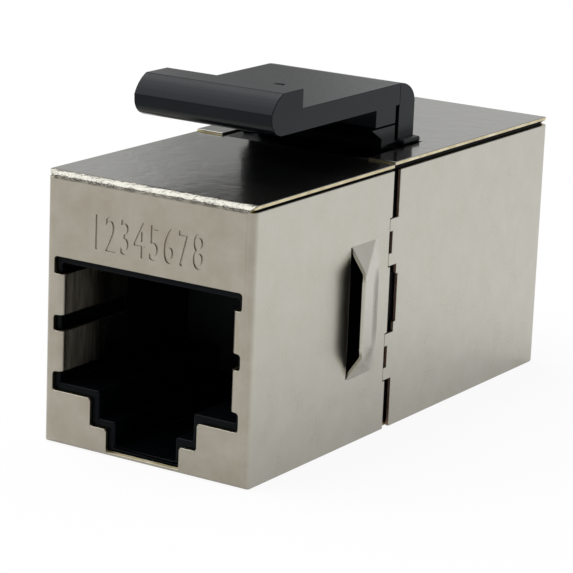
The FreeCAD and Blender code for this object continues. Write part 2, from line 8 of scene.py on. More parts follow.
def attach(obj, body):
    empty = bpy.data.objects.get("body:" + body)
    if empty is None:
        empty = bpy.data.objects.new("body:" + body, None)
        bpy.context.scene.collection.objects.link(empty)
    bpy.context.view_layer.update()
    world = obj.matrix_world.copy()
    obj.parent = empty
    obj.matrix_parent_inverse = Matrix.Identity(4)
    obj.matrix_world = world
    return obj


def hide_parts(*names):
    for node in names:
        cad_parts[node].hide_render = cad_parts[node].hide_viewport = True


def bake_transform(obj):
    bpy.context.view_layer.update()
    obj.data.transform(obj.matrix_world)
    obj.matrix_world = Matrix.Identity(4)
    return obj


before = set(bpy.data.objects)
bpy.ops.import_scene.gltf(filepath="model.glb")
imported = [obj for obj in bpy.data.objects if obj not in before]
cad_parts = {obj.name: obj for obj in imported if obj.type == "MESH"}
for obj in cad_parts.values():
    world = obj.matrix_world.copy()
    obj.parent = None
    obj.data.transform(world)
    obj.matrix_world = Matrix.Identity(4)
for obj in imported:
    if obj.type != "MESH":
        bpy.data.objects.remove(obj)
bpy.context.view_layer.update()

# Shielded inline coupler: two folded shells of nickel-plated brass over black moulded
# housings, with a keystone latch on top. A piece is drawn in millimetres, with the part's
# own sizes, and is scaled to metres when it is finished. A port and its shell are drawn in
# the port's own frame: its face lies at y = 0 and depth runs along +y.
MM = 0.001

HALF_WIDTH = 7.25
HEIGHT = 16.6
HALF_LENGTH = 17.5
SHEET = 0.25
SHEET_BREAK = 0.05          # round of the sheet's cut edges
FOLD_RADIUS = 0.5
CORNER_GAP = 0.15
SEAT_GAP = 0.05
REAR_TOP = 16.75

SEAM_START = 15.2
SEAM_END = 15.95
TONGUE_MIDDLES = (4.6, 11.8)
TONGUE_HALF = 1.475
TONGUE_SOCKET = 0.25
RELIEF_HALF = 0.675         # notch in a tongue's end
RELIEF_DEPTH = 0.35
EDGE_RELIEF_HALF = 1.5      # shallow recess between the tongues
EDGE_RELIEF_DEPTH = 0.22

PORT_FLOOR = 3.35
PORT_TOP = 11.5
PORT_CORNER = 0.2
CLEAR_HALF = 5.95
NOTCH_HALF = 6.6
STRIPS = ((4.5, 7.0), (7.95, 10.45))
STRIP_BEND = 0.4
STRIP_LENGTH = 6.5
STEP_HALF = 3.8
STEP_FLOOR = 1.68
TAIL_HALF = 2.6
RIM = 0.45

LOUVRE_MOUTH = 10.65
LOUVRE_WAIST = 12.55
LOUVRE_HEEL = 13.3
LOUVRE_BACK = 14.0
LOUVRE_REACHES = ((LOUVRE_MOUTH, 1.05), (LOUVRE_WAIST, 0.55), (LOUVRE_HEEL, 0.25))
LOUVRE_LEVELS = (4.2, 5.7, 10.8, 12.3)
RIDGE_ROUND = 0.12
SLIT_WIDTH = 0.1
BURR_HEIGHT = 0.05
BURR_TOP = 0.03             # width of the burr's top, and of its foot, beside the slit
BURR_FOOT = 0.14

DIGIT_SIZE = 3.0
DIGIT_NARROWING = 0.58
DIGIT_DEPTH = 0.07
DIGIT_LEVEL = 12.4

PORT_DEPTH = 12.9
HOUSING_SHOWS = 0.25        # a housing's edge shows this far past its shell in the seam
GROOVE_FLOOR = 0.65         # floor of the groove for the plug's latch
MOUTH_CORNER = 0.15
MOUTH_ROUND = 0.14
POCKET_LEVELS = (2.15, 15.25)
REAR_POCKET_END = 18.0
COMB_HALF = 4.335
COMB_FRONT = 3.84
BOARD_HALF = 6.1
BOARD_LEVELS = (1.25, 15.45)

LATCH_HALF = 4.85
PLATE_UNDER = 19.29
PLATE_TOP = 20.65
NOSE_TOP = 21.8
NOSE_BACK = 8.4
# The nose's front, from its top edge down to the plate's underside: depth and height.
NOSE_PROFILE = ((6.25, 21.8), (5.78, 21.52), (5.44, 21.2), (5.22, 20.89), (5.11, 20.5),
                (5.13, 20.12), (5.28, 19.8), (5.56, 19.52), (6.1, 19.29))
ARM_BREAK = 0.045           # round of the arm's other edges
NOSE_EDGE = 0.06            # round of the nose's top edge
NOSE_ROUND = 0.15           # round between the flats of its front
COLUMN_FRONT = 19.45
COLUMN_BACK = 21.35
COLUMN_ROUND = 2.0
COLUMN_IN_FOOT = 0.25       # the column reaches this far down into the foot
LATCH_SLOT = 0.36
STOP_HEIGHT = 1.08
STOP_LENGTH = 2.35
STOP_GAP = 0.08
REST_LIP = 0.45
REST_FLANK = 0.7
REST_LENGTH = 1.6
REST_ROUND = 0.2
REST_BREAK = 0.05
LINE_WIDTH = 0.06           # parting lines
LINE_DEPTH = 0.12
LINE_END = 0.12             # a line ends this far under the plate's top
GATE_PLACE = (-0.33, 13.8)  # dimple where the plastic was fed in
GATE_RADIUS = 0.48
FOOT_TOP = 17.11
FOOT_HALF = 5.2
FOOT_BACK = 21.7
FOOT_BREAK = 0.06
BAR_FRONT = 19.6
BAR_ROUND = 0.16
NOTCH_CLEARANCE = 0.1       # between the foot and the rear shell's notch
HINGE_DEPTH = 19.3
ROOT_RADIUS = 0.8
ROOT_HALF = 5.95
ROOT_GAP = 0.08

PIN_COUNT = 8
PIN_PITCH = 1.02


# ---- Modelling --------------------------------------------------------------------------

def leave_edit_mode():
    """Goes back to object mode, where pieces are added and chosen."""
    if bpy.context.object and bpy.context.object.mode == "EDIT":
        bpy.ops.object.mode_set(mode="OBJECT")


def deselect():
    """Leaves nothing selected, so that an operator works on its own piece alone."""
    for item in list(bpy.context.selected_objects):
        item.select_set(False)


def take(piece):
    """Makes a piece the only selected and the active one."""
    leave_edit_mode()
    deselect()
    bpy.context.view_layer.objects.active = piece
    piece.select_set(True)


def block(name, low, high):
    """A block between two corners, in millimetres."""
    leave_edit_mode()
    deselect()
    middle = [(a + b) / 2 for a, b in zip(low, high)]
    bpy.ops.mesh.primitive_cube_add(size=1, location=middle)
    piece = bpy.context.object
    piece.scale = [b - a for a, b in zip(low, high)]
    bpy.ops.object.transform_apply(location=True, rotation=True, scale=True)
    piece.name = name
    piece.data.name = name
    return piece


def pick(piece, kind, wanted):
    """Selects faces, edges or corners, in edit mode, where wanted(place, direction) is true."""
    if piece.mode != "EDIT":
        take(piece)
        bpy.ops.object.mode_set(mode="EDIT")
    bpy.ops.mesh.select_mode(type=kind)
    bpy.ops.mesh.select_all(action="DESELECT")
    mesh = bmesh.from_edit_mesh(piece.data)
    if kind == "FACE":
        for face in mesh.faces:
            if wanted(face.calc_center_median(), face.normal):
                face.select_set(True)
    elif kind == "EDGE":
        for edge in mesh.edges:
            first, last = (corner.co for corner in edge.verts)
            if wanted((first + last) / 2, (last - first).normalized()):
                edge.select_set(True)
    else:
        for corner in mesh.verts:
            if wanted(corner.co, corner.normal):
                corner.select_set(True)
    bmesh.update_edit_mesh(piece.data)
    return piece


def anywhere(p, n):
    """Picks all of a piece."""
    return True


def side_wall(p, n):
    """Picks the flat of a shell's left and right walls."""
    return abs(n.x) > 0.9999


def score(piece, wanted, axis, places):
    """Cuts lines across the picked faces, square to an axis, at each of the places."""
    direction = [1.0 if index == axis else 0.0 for index in range(3)]
    for place in places:
        pick(piece, "FACE", wanted)
        point = [place * part for part in direction]
        bpy.ops.mesh.bisect(plane_co=point, plane_no=direction, threshold=1e-5)


def remove(piece, wanted):
    """Deletes the picked faces of a piece."""
    pick(piece, "FACE", wanted)
    bpy.ops.mesh.delete(type="FACE")


def slide(piece, wanted, way):
    """Moves the picked corners of a piece."""
    pick(piece, "VERT", wanted)
    bpy.ops.transform.translate(value=way)


def grow(piece, wanted, way):
    """Extrudes the picked faces of a piece."""
    pick(piece, "FACE", wanted)
    bpy.ops.mesh.extrude_region_move(TRANSFORM_OT_translate={"value": way})


def round_edges(piece, wanted, offset, segments):
    """Rounds the picked edges of a piece."""
    pick(piece, "EDGE", wanted)
    bpy.ops.mesh.bevel(offset=offset, segments=segments, profile=0.5, affect="EDGES")


def paint(piece, wanted, index):
    """Gives the picked faces the material with this number in the piece's list."""
    pick(piece, "FACE", wanted)
    piece.active_material_index = index
    bpy.ops.object.material_slot_assign()


def finish_modifier(piece, kind, **settings):
    """Adds a modifier with its settings and applies it."""
    take(piece)
    modifier = piece.modifiers.new(kind.lower(), kind)
    for key, value in settings.items():
        setattr(modifier, key, value)
    bpy.ops.object.modifier_apply(modifier=modifier.name)


def combine(piece, tool, operation):
    """Adds the tool's solid to the piece, or cuts it away."""
    finish_modifier(piece, "BOOLEAN", object=tool, operation=operation, solver="EXACT")
    bpy.data.objects.remove(tool)


def carve(piece, low, high):
    """Cuts a block between two corners out of a piece."""
    combine(piece, block("carving_block", low, high), "DIFFERENCE")


def place_in_part(piece, rear):
    """Puts a piece that is drawn in a port's frame at the front or at the rear."""
    take(piece)
    piece.location = (0, HALF_LENGTH if rear else -HALF_LENGTH, 0)
    if rear:
        piece.rotation_euler = (0, 0, math.pi)
    bpy.ops.object.transform_apply(location=True, rotation=True, scale=True)


def soften(piece, width, angle=35, segments=2):
    """Breaks the piece's sharp edges with a small round, in the first of its finishes."""
    finish_modifier(piece, "BEVEL", width=width, segments=segments, limit_method="ANGLE",
                    angle_limit=math.radians(angle), use_clamp_overlap=False, material=0)


def to_metres(piece, crisp=False):
    """Smooths the shading, flat faces first, and scales the piece from millimetres."""
    take(piece)
    if crisp:
        bpy.ops.object.shade_smooth_by_angle(angle=math.radians(60))
    else:
        bpy.ops.object.shade_smooth()
    finish_modifier(piece, "WEIGHTED_NORMAL", mode="FACE_AREA", weight=100, keep_sharp=crisp)
    take(piece)
    piece.scale = (MM, MM, MM)
    bpy.ops.object.transform_apply(location=True, rotation=True, scale=True)


def mount(piece, replaced, crisp=False):
    """Puts a finished piece on the coupler's body, in the place of a plain solid."""
    to_metres(piece, crisp)
    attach(piece, "coupler_body")
    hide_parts(replaced)


# ---- Shells -----------------------------------------------------------------------------

def folded_skin(name, length, top):
    """Outside skin of a shell: a face with four walls folded back from it."""
    skin = block(name, (-HALF_WIDTH, 0, 0), (HALF_WIDTH, length, top))
    remove(skin, lambda p, n: n.y > 0.9)
    round_edges(skin, lambda p, d: p.y < 1e-4, FOLD_RADIUS, 9)
    # The side walls end below the top wall, and the bottom wall lies between them.
    side_top = HEIGHT - SHEET - CORNER_GAP
    score(skin, lambda p, n: abs(n.x) > 0.05, 2, [side_top])
    remove(skin, lambda p, n: abs(n.x) > 0.05 and p.z > side_top)
    floor_half = HALF_WIDTH - SHEET - SEAT_GAP
    score(skin, lambda p, n: n.z < -0.99, 0, [-floor_half, floor_half])
    remove(skin, lambda p, n: n.z < -0.99 and abs(p.x) > floor_half)
    return skin


def open_port(skin):
    """The stepped opening with three notches on each side, and its four ground strips."""
    bend = CLEAR_HALF + STRIP_BEND

    def face(p, n):
        return n.y < -0.9999

    def low_fold(p, n):
        return p.y < FOLD_RADIUS and p.z < FOLD_RADIUS and abs(n.x) < 0.05

    across = [NOTCH_HALF, bend, STEP_HALF, TAIL_HALF]
    score(skin, face, 0, [-x for x in across] + across)
    score(skin, face, 2,
          [STEP_FLOOR, PORT_FLOOR, PORT_TOP] + [z for strip in STRIPS for z in strip])
    score(skin, low_fold, 0, [-TAIL_HALF, TAIL_HALF])

    def in_port(p):
        x, z = abs(p.x), p.z
        if z > PORT_TOP:
            return False
        if z < STEP_FLOOR:
            return x < TAIL_HALF and z > SHEET
        if z < PORT_FLOOR:
            return x < STEP_HALF
        if any(low < z < high for low, high in STRIPS):
            return x < bend
        return x < NOTCH_HALF

    remove(skin, lambda p, n: (p.y < FOLD_RADIUS and abs(n.x) < 0.05 and n.y < -0.05
                               and in_port(p)))
    for low, high in STRIPS:
        for side in (-1, 1):
            def strip_edge(p, d):
                return abs(p.x - side * bend) < 1e-3 and low < p.z < high and p.y < 1e-3
            pick(skin, "EDGE", strip_edge)
            bpy.ops.mesh.spin(steps=4, angle=side * math.pi / 2, axis=(0, 0, 1),
                              center=(side * bend, STRIP_BEND, 0))
            bpy.ops.mesh.extrude_region_move(
                TRANSFORM_OT_translate={"value": (0, STRIP_LENGTH - STRIP_BEND, 0)})


def form_louvres(skin):
    """A slit in each side wall, with the wall behind it pushed out into a louvre."""
    low, low_flat, high_flat, high = LOUVRE_LEVELS
    slit = LOUVRE_MOUTH - SLIT_WIDTH
    hip_length = LOUVRE_HEEL - LOUVRE_MOUTH
    margin = 0.06
    score(skin, side_wall, 1, [slit - BURR_FOOT, slit - BURR_TOP, slit, LOUVRE_MOUTH,
                               LOUVRE_WAIST, LOUVRE_HEEL, LOUVRE_BACK])
    score(skin, side_wall, 2, [low - margin, low, low_flat, high_flat, high, high + margin])
    remove(skin, lambda p, n: (side_wall(p, n) and low < p.z < high
                               and slit < p.y < LOUVRE_MOUTH))
    # Each end slopes down to the wall, from the crest's corner back to the heel.
    for corner, outer in ((high_flat, high), (low_flat, low)):
        rise = (outer - corner) / hip_length

        def end_wall(p, n):
            return (side_wall(p, n) and LOUVRE_MOUTH < p.y < LOUVRE_HEEL
                    and min(corner, outer) < p.z < max(corner, outer))
        pick(skin, "FACE", end_wall)
        bpy.ops.mesh.bisect(plane_co=(0, LOUVRE_MOUTH, corner), plane_no=(0, rise, -1),
                            threshold=1e-5)
        hip = corner + rise * (LOUVRE_WAIST - LOUVRE_MOUTH)
        hip_reach = LOUVRE_REACHES[0][1] * (1 - (LOUVRE_WAIST - LOUVRE_MOUTH) / hip_length)
        for way in (-1, 1):
            def on_hip(p, n):
                return (p.x * way > 0 and abs(p.y - LOUVRE_WAIST) < 1e-3
                        and abs(p.z - hip) < 1e-3)
            slide(skin, on_hip, (way * hip_reach, 0, 0))
    for row, reach in LOUVRE_REACHES:
        for way in (-1, 1):
            def crest(p, n):
                return (abs(p.y - row) < 1e-3 and p.x * way > HALF_WIDTH - 1e-3
                        and low_flat - 1e-3 < p.z < high_flat + 1e-3)
            slide(skin, crest, (way * reach, 0, 0))

    # The punch left a thin burr along the slit.
    for way in (-1, 1):
        def burr(p, n):
            return (abs(p.x - way * HALF_WIDTH) < 1e-3
                    and slit - BURR_TOP - 0.01 < p.y < slit + 1e-3
                    and low + 0.3 < p.z < high - 0.3)
        slide(skin, burr, (way * BURR_HEIGHT, 0, 0))

    def ridge(p, d):
        off = (high - high_flat) / hip_length * (p.y - LOUVRE_MOUTH)
        return (abs(p.x) > HALF_WIDTH + 0.05 and abs(d.y) > 0.5
                and min(abs(p.z - low_flat + off), abs(p.z - high_flat - off)) < 0.01)
    round_edges(skin, ridge, RIDGE_ROUND, 3)


# A shell's materials, in their order. Each finish of the sheet has its cut edge after it,
# which is where Solidify looks for the rim's material.
PLATE, PLATE_EDGE, STRIP, STRIP_EDGE, SEAM_EDGE = range(5)


def face_with_finish(skin):
    """Gives the skin its metals; the ground strips keep the scuffs of plugs."""
    give(skin, plated_sheet, raw_edge, scuffed_strip, raw_edge, seam_edge_brass)

    def on_strip(p, n):
        return (abs(p.x) < CLEAR_HALF + 0.01 and p.y > STRIP_BEND
                and PORT_FLOOR < p.z < PORT_TOP and abs(n.z) < 0.5)
    paint(skin, on_strip, STRIP)


def thicken(skin, seam):
    """Turns the skin into sheet with broken edges; its cut edges are raw, and tarnished
    along the seam."""
    pick(skin, "VERT", anywhere)
    bpy.ops.mesh.remove_doubles(threshold=0.03)
    bpy.ops.object.mode_set(mode="OBJECT")
    finish_modifier(skin, "SOLIDIFY", thickness=SHEET, offset=-1, use_even_offset=True,
                    use_rim=True, material_offset_rim=PLATE_EDGE - PLATE,
                    use_quality_normals=True)
    levels = [PORT_FLOOR, PORT_TOP] + [z for strip in STRIPS for z in strip]
    corners = [(NOTCH_HALF, z) for z in levels]
    corners += [(STEP_HALF, PORT_FLOOR), (STEP_HALF, STEP_FLOOR), (TAIL_HALF, STEP_FLOOR)]

    def port_corner(p, d):
        return abs(d.y) > 0.99 and p.y < SHEET and any(
            abs(abs(p.x) - x) < 0.01 and abs(p.z - z) < 0.01 for x, z in corners)
    round_edges(skin, port_corner, PORT_CORNER, 4)
    # The lip of a louvre was drawn out with its plating, and the face is plated all over.
    paint(skin, lambda p, n: abs(p.x) > HALF_WIDTH + 0.02 or (n.y < -0.99 and p.y < 1e-3),
          PLATE)

    def seam_edge(p, n):
        in_wall = HALF_WIDTH - SHEET + 0.01 < abs(p.x) < HALF_WIDTH - 0.01
        return (in_wall and p.z < HEIGHT - SHEET and p.y > seam - 0.4
                and abs(n.x) < 0.5 and n.z < 0.5)
    paint(skin, seam_edge, SEAM_EDGE)
    bpy.ops.object.mode_set(mode="OBJECT")
    soften(skin, SHEET_BREAK, angle=40)


def stamp_pin_numbers(shield):
    """Eight shallow digits in the face, one over each contact."""
    digits = []
    for index in range(PIN_COUNT):
        deselect()
        x = (index - (PIN_COUNT - 1) / 2) * PIN_PITCH
        bpy.ops.object.text_add(location=(x, 0, DIGIT_LEVEL), rotation=(math.pi / 2, 0, 0))
        digit = bpy.context.object
        digit.data.body = str(index + 1)
        digit.data.size = DIGIT_SIZE
        digit.data.align_x = "CENTER"
        digit.data.resolution_u = 4
        digit.data.extrude = DIGIT_DEPTH
        bpy.ops.object.convert(target="MESH")
        digit.scale = (DIGIT_NARROWING, 1, 1)
        bpy.ops.object.transform_apply(location=True, rotation=True, scale=True)
        digits.append(digit)
    deselect()
    for digit in digits:
        digit.select_set(True)
    bpy.context.view_layer.objects.active = digits[0]
    bpy.ops.object.join()
    give(digits[0], plated_sheet)
    combine(shield, digits[0], "DIFFERENCE")


def front_shield():
    """Its side walls carry the louvres, and end in sockets for the rear shield's tongues."""
    skin = folded_skin("front_shield", SEAM_START, HEIGHT)
    open_port(skin)
    socket = SEAM_START - TONGUE_SOCKET
    room = TONGUE_HALF + SEAT_GAP
    score(skin, side_wall, 1, [socket])
    score(skin, side_wall, 2, [m + d for m in TONGUE_MIDDLES for d in (-room, room)])
    remove(skin, lambda p, n: (side_wall(p, n) and p.y > socket
                               and any(abs(p.z - m) < room for m in TONGUE_MIDDLES)))
    form_louvres(skin)
    face_with_finish(skin)
    thicken(skin, socket)
    stamp_pin_numbers(skin)
    place_in_part(skin, rear=False)
    mount(skin, "front_shell", crisp=True)


def rear_shield():
    """Its side walls end in tongues, and its top wall in two leads beside the latch."""
    wall_end = 2 * HALF_LENGTH - SEAM_END
    lead_end = 2 * HALF_LENGTH - SEAM_START - SEAT_GAP
    tip = 2 * HALF_LENGTH - SEAM_START + TONGUE_SOCKET - SEAT_GAP
    skin = folded_skin("rear_shield", tip, REAR_TOP)
    open_port(skin)

    def level_wall(p, n):
        return abs(n.z) > 0.9999

    notch_half = FOOT_HALF + NOTCH_CLEARANCE
    notch_from = 2 * HALF_LENGTH - FOOT_BACK - NOTCH_CLEARANCE
    score(skin, level_wall, 1, [notch_from, lead_end])
    score(skin, level_wall, 0, [-notch_half, notch_half])
    remove(skin, lambda p, n: level_wall(p, n) and p.y > lead_end)
    remove(skin, lambda p, n: n.z > 0.9999 and p.y > notch_from and abs(p.x) < notch_half)
    recess = wall_end - EDGE_RELIEF_DEPTH
    relief = tip - RELIEF_DEPTH
    middle = sum(TONGUE_MIDDLES) / 2
    levels = [middle - EDGE_RELIEF_HALF, middle + EDGE_RELIEF_HALF]
    for m in TONGUE_MIDDLES:
        levels += [m - TONGUE_HALF, m - RELIEF_HALF, m + RELIEF_HALF, m + TONGUE_HALF]
    score(skin, side_wall, 1, [recess, wall_end, relief])
    score(skin, side_wall, 2, levels)

    def cut_off(p, n):
        if not side_wall(p, n) or p.y < recess:
            return False
        if abs(p.z - middle) < EDGE_RELIEF_HALF:
            return True
        if p.y < wall_end:
            return False
        nearest = min(abs(p.z - m) for m in TONGUE_MIDDLES)
        return nearest > TONGUE_HALF or (p.y > relief and nearest < RELIEF_HALF)

    remove(skin, cut_off)
    face_with_finish(skin)
    thicken(skin, recess)
    stamp_pin_numbers(skin)
    place_in_part(skin, rear=True)
    mount(skin, "rear_shell", crisp=True)


# ---- Housings ---------------------------------------------------------------------------

def housing(name, length, rear):
    """Moulded block in a shell: the plug's cavity with its latch groove, and the pocket
    behind it."""
    gap = SHEET + SEAT_GAP
    half = HALF_WIDTH - gap
    moulding = block(name, (-half, gap, gap), (half, length, HEIGHT - gap))
    round_edges(moulding, lambda p, d: p.y < gap + 1e-3, FOLD_RADIUS - SHEET, 4)
    floor = PORT_FLOOR + RIM
    step = STEP_FLOOR + RIM
    ceiling = PORT_TOP - RIM
    room = CLEAR_HALF + SHEET + SEAT_GAP
    # The carving blocks run out past the moulding's faces and up into one another.
    carve(moulding, (-CLEAR_HALF, -1, floor), (CLEAR_HALF, PORT_DEPTH, ceiling))
    carve(moulding, (-room, -1, floor), (room, STRIP_LENGTH + SEAT_GAP, ceiling))
    carve(moulding, (RIM - STEP_HALF, -1, step), (STEP_HALF - RIM, PORT_DEPTH, floor + 0.5))
    carve(moulding, (RIM - TAIL_HALF, -1, GROOVE_FLOOR), (TAIL_HALF - RIM, PORT_DEPTH, step + 0.5))
    # The mouth's corners and its front edge are rounded over.
    corners = [(room, floor), (room, ceiling), (STEP_HALF - RIM, floor), (STEP_HALF - RIM, step),
               (TAIL_HALF - RIM, step), (TAIL_HALF - RIM, GROOVE_FLOOR)]

    def mouth_corner(p, d):
        return abs(d.y) > 0.99 and p.y < PORT_DEPTH and any(
            abs(abs(p.x) - x) < 0.01 and abs(p.z - z) < 0.01 for x, z in corners)
    round_edges(moulding, mouth_corner, MOUTH_CORNER, 3)

    def mouth_edge(p, d):
        return (abs(p.y - gap) < 1e-3 and abs(d.y) < 0.01 and abs(p.x) < half - 0.3
                and GROOVE_FLOOR - 0.05 < p.z < ceiling + 0.1)
    round_edges(moulding, mouth_edge, MOUTH_ROUND, 4)
    bpy.ops.object.mode_set(mode="OBJECT")
    bend = room + STRIP_BEND
    for low, high in STRIPS:
        carve(moulding, (-bend, -1, low - SEAT_GAP), (bend, gap + SEAT_GAP, high + SEAT_GAP))
    back = REAR_POCKET_END if rear else length
    pocket_floor, pocket_roof = POCKET_LEVELS
    carve(moulding, (-CLEAR_HALF, PORT_DEPTH - 0.2, pocket_floor),
          (CLEAR_HALF, back + 1, pocket_roof))
    carve(moulding, (-COMB_HALF, COMB_FRONT, ceiling - 1), (COMB_HALF, PORT_DEPTH, pocket_roof))
    if rear:
        board_low, board_high = BOARD_LEVELS
        carve(moulding, (-BOARD_HALF, back, board_low), (BOARD_HALF, length + 1, board_high))
        trough = cross_rod("trough", ROOT_HALF + ROOT_GAP, ROOT_RADIUS + ROOT_GAP,
                           2 * HALF_LENGTH - HINGE_DEPTH)
        combine(moulding, trough, "DIFFERENCE")
    give(moulding, housing_plastic)
    place_in_part(moulding, rear)
    mount(moulding, "rear_housing" if rear else "front_housing")


def cross_rod(name, half, radius, depth):
    """A round rod that runs across the part, on the latch's hinge line."""
    deselect()
    bpy.ops.mesh.primitive_cylinder_add(vertices=48, radius=radius, depth=2 * half,
                                        location=(0, depth, HEIGHT), rotation=(0, math.pi / 2, 0))
    rod = bpy.context.object
    bpy.ops.object.transform_apply(location=True, rotation=True, scale=True)
    rod.name = name
    return rod


# ---- Latch ------------------------------------------------------------------------------

def round_across(piece, y, z, offset, segments):
    """Rounds the edge that runs across the latch at this depth and height."""
    round_edges(piece, lambda p, d: (abs(d.x) > 0.99 and abs(p.y - y) < 2e-3
                                     and abs(p.z - z) < 2e-3), offset, segments)


def latch_arm():
    """Nose, plate and column, with the upper stop block under the plate."""
    slot_front = COLUMN_FRONT - LATCH_SLOT
    stop_front = slot_front - STOP_LENGTH
    nose_front = min(y for y, z in NOSE_PROFILE)
    arm = block("latch_moulding", (-LATCH_HALF, nose_front, PLATE_UNDER),
                (LATCH_HALF, COLUMN_BACK, PLATE_TOP))
    score(arm, anywhere, 1, [NOSE_BACK, stop_front, slot_front, COLUMN_FRONT])
    grow(arm, lambda p, n: n.z > 0.9 and p.y < NOSE_BACK, (0, 0, NOSE_TOP - PLATE_TOP))
    grow(arm, lambda p, n: n.z < -0.9 and stop_front < p.y < slot_front, (0, 0, -STOP_HEIGHT))
    grow(arm, lambda p, n: n.z < -0.9 and p.y > COLUMN_FRONT,
         (0, 0, FOOT_TOP - COLUMN_IN_FOOT - PLATE_UNDER))
    # The nose is rounded from its top edge down to its chin, which runs back under the plate.
    score(arm, lambda p, n: p.y < NOSE_BACK + 0.01, 2, [z for y, z in NOSE_PROFILE[1:-1]])
    for y, z in NOSE_PROFILE:
        if y > nose_front:
            slide(arm, lambda p, n: p.y < nose_front + 0.01 and abs(p.z - z) < 0.01,
                  (0, y - nose_front, 0))
    round_across(arm, *NOSE_PROFILE[0], NOSE_EDGE, 2)
    for y, z in NOSE_PROFILE[1:]:
        round_across(arm, y, z, NOSE_ROUND, 3)
    round_across(arm, COLUMN_BACK, PLATE_TOP, COLUMN_ROUND, 16)
    bpy.ops.object.mode_set(mode="OBJECT")
    soften(arm, ARM_BREAK)
    # Fine parting lines show where the mould's slide formed the column and the stop block.
    line = COLUMN_FRONT + 0.03
    for way in (-1, 1):
        left, right = sorted((way * (LATCH_HALF + 1), way * (LATCH_HALF - LINE_DEPTH)))
        carve(arm, (left, line, PLATE_UNDER - 0.1),
              (right, line + LINE_WIDTH, PLATE_TOP - LINE_END))
        carve(arm, (left, stop_front, PLATE_UNDER), (right, line, PLATE_UNDER + LINE_WIDTH))
    return arm


def latch_foot():
    """The lower stop block, the foot under the column and a rounded bar on each side of it."""
    slot_front = COLUMN_FRONT - LATCH_SLOT
    rest_top = PLATE_UNDER - STOP_HEIGHT - STOP_GAP
    post_front = slot_front - REST_LENGTH
    rest_front = slot_front - STOP_LENGTH - REST_LIP
    post = block("latch_post", (-LATCH_HALF, post_front, REAR_TOP),
                 (LATCH_HALF, slot_front, rest_top))
    score(post, anywhere, 2, [rest_top - REST_FLANK])
    slide(post, lambda p, n: p.z > rest_top - 0.01 and p.y < post_front + 0.01,
          (0, rest_front - post_front, 0))
    round_across(post, post_front, rest_top - REST_FLANK, REST_ROUND, 5)
    bpy.ops.object.mode_set(mode="OBJECT")
    soften(post, REST_BREAK)
    foot = block("latch_foot", (-LATCH_HALF, post_front + 0.1, REAR_TOP),
                 (LATCH_HALF, FOOT_BACK, FOOT_TOP))
    soften(foot, FOOT_BREAK)
    bars = block("latch_bars", (-FOOT_HALF, BAR_FRONT, REAR_TOP), (FOOT_HALF, FOOT_BACK, FOOT_TOP))
    soften(bars, BAR_ROUND, segments=6)
    combine(foot, bars, "UNION")
    combine(foot, post, "UNION")
    return foot


def latch():
    """One moulding: nose, plate, column and foot, with two stop blocks between plate and foot."""
    arm = latch_arm()
    combine(arm, latch_foot(), "UNION")
    # The foot's round root, seated in the rear housing, with its ends under the sheet.
    root = cross_rod("latch_root", ROOT_HALF, ROOT_RADIUS, HINGE_DEPTH)
    front, back, above = HINGE_DEPTH - 2, HINGE_DEPTH + 2, HEIGHT + 2
    for way in (-1, 1):
        left, right = sorted((way * (ROOT_HALF + 1), way * LATCH_HALF))
        carve(root, (left, front, REAR_TOP - SHEET - 2 * SEAT_GAP), (right, back, above))
    carve(root, (-ROOT_HALF, front, FOOT_TOP - 0.18), (ROOT_HALF, back, above))
    combine(arm, root, "UNION")
    # A small dimple in the plate, where the plastic was fed in.
    deselect()
    bpy.ops.mesh.primitive_cone_add(vertices=32, radius1=0.3, radius2=GATE_RADIUS, depth=0.3,
                                    location=(*GATE_PLACE, PLATE_TOP + 0.02))
    gate = bpy.context.object
    bpy.ops.object.transform_apply(location=True, rotation=True, scale=True)
    combine(arm, gate, "DIFFERENCE")
    give(arm, latch_plastic)
    place_in_part(arm, rear=False)
    to_metres(arm)
    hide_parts("keystone_latch")
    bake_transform(arm)


# ---- Materials --------------------------------------------------------------------------

def linear(code):
    """sRGB hex code to the linear colour that a shader takes."""
    parts = [int(code[i:i + 2], 16) / 255 for i in (0, 2, 4)]
    return tuple(c / 12.92 if c <= 0.04045 else ((c + 0.055) / 1.055) ** 2.4 for c in parts) + (1,)


def node(tree, kind, settings=None, links=None):
    """Adds a shader node with its settings and links, by property or socket name. A colour
    ramp's stops are (position, colour) pairs."""
    made = tree.nodes.new("ShaderNode" + kind)
    for key, value in (settings or {}).items():
        if key == "stops":
            elements = made.color_ramp.elements
            while len(elements) < len(value):
                elements.new(0.5)
            for element, (position, colour) in zip(elements, value):
                element.position = position
                element.color = colour
        elif isinstance(key, str) and hasattr(made, key):
            setattr(made, key, value)
        else:
            made.inputs[key].default_value = value
    for key, output in (links or {}).items():
        tree.links.new(output, made.inputs[key])
    return made


def give(piece, *materials):
    """Gives a piece its list of materials."""
    piece.data.materials.clear()
    for material in materials:
        piece.data.materials.append(material)


def new_material(name):
    """A material with an empty node tree."""
    material = bpy.data.materials.new(name)
    material.use_nodes = True
    tree = material.node_tree
    tree.nodes.clear()
    return material, tree


def tones(*stops):
    """A ramp's stops, from (position, sRGB hex code) pairs."""
    return {"stops": [(position, linear(code)) for position, code in stops]}


